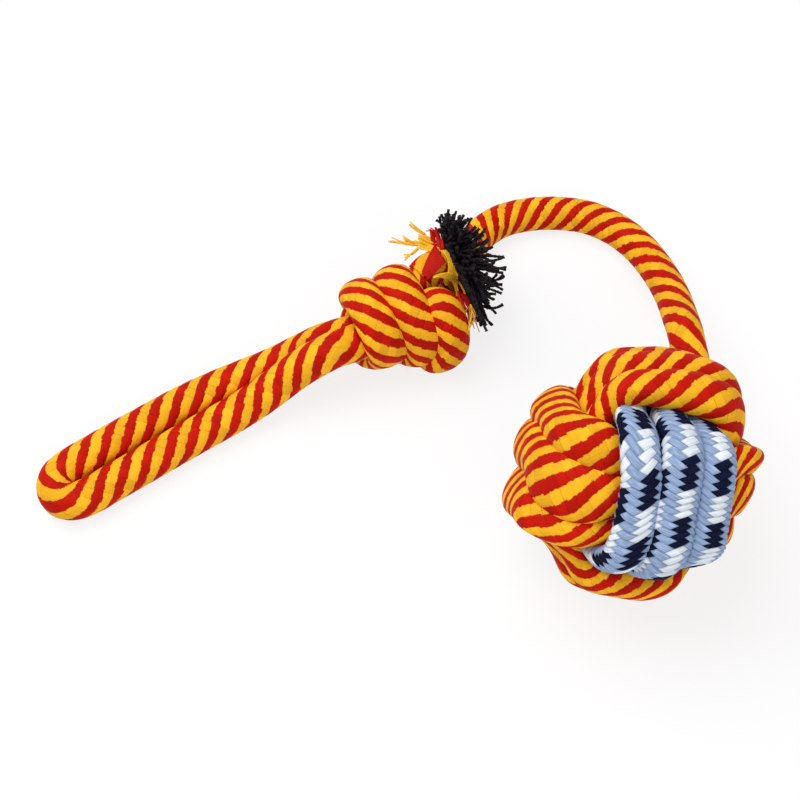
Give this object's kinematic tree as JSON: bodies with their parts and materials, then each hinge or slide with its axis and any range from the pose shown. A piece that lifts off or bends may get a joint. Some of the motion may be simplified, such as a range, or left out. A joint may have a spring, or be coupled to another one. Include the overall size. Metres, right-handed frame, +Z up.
{
  "type": "rope dog toy",
  "caption": "Dog tug toy of striped braided rope: a doubled handle loop, a wrapped knot with a frayed rope end, and a free neck of rope that ends in a woven ball.",
  "frame": {"origin": "on the floor, under the middle of the toy's bounding box as it lies", "axes": "+X along the toy as it lies, from the handle's end to the ball; +Y from the near side to the neck's arc; +Z up from the floor"},
  "size_m": [0.2434, 0.1744, 0.0829],
  "materials": {
    "striped_braid": "red and yellow spiral-striped braided cover, matt with a slight sheen",
    "blue_braid": "light blue, navy and white braided cover, matt",
    "core_yarn": "dark twisted yarn, matt",
    "torn_braid": "frayed yellow and red ends of the cover, matt"
  },
  "bodies": {
    "knot": {"knot_turns": "striped_braid", "knot_through_strand": "striped_braid", "near_leg_cover": "striped_braid", "near_leg_core": "core_yarn", "far_leg_cover": "striped_braid", "far_leg_core": "core_yarn", "neck_knot_cover": "striped_braid", "neck_knot_core": "core_yarn", "tail_cover": "striped_braid", "tail_core": "core_yarn", "torn_cover": "torn_braid", "yarn_tassel": "core_yarn"},
    "handle": {"handle_loop_cover": "striped_braid", "handle_loop_core": "core_yarn"},
    "neck": {"neck_middle_cover": "striped_braid", "neck_middle_core": "core_yarn"},
    "ball": {"neck_ball_cover": "striped_braid", "neck_ball_core": "core_yarn", "neck_root": "striped_braid", "ball_core": "core_yarn", "blue_winding": "blue_braid", "cap_winding": "striped_braid", "side_winding": "striped_braid"}
  },
  "joints": [
    {"name": "handle_bend", "type": "hinge", "parent": "knot", "child": "handle", "pos_m": [-0.04522, -0.00199, 0.0076], "axis": [-0.3052, 0.9358, -0.1763], "range_deg": [-40, 40]},
    {"name": "neck_swing", "type": "hinge", "parent": "knot", "child": "neck", "pos_m": [0.05558, 0.08021, 0.005], "axis": [0, 0, 1], "range_deg": [-25, 40]},
    {"name": "neck_lift", "type": "hinge", "parent": "neck", "child": "ball", "pos_m": [0.09078, 0.06341, 0.0078], "axis": [-0.8613, -0.5081, 0], "range_deg": [-20, 36]}
  ]
}
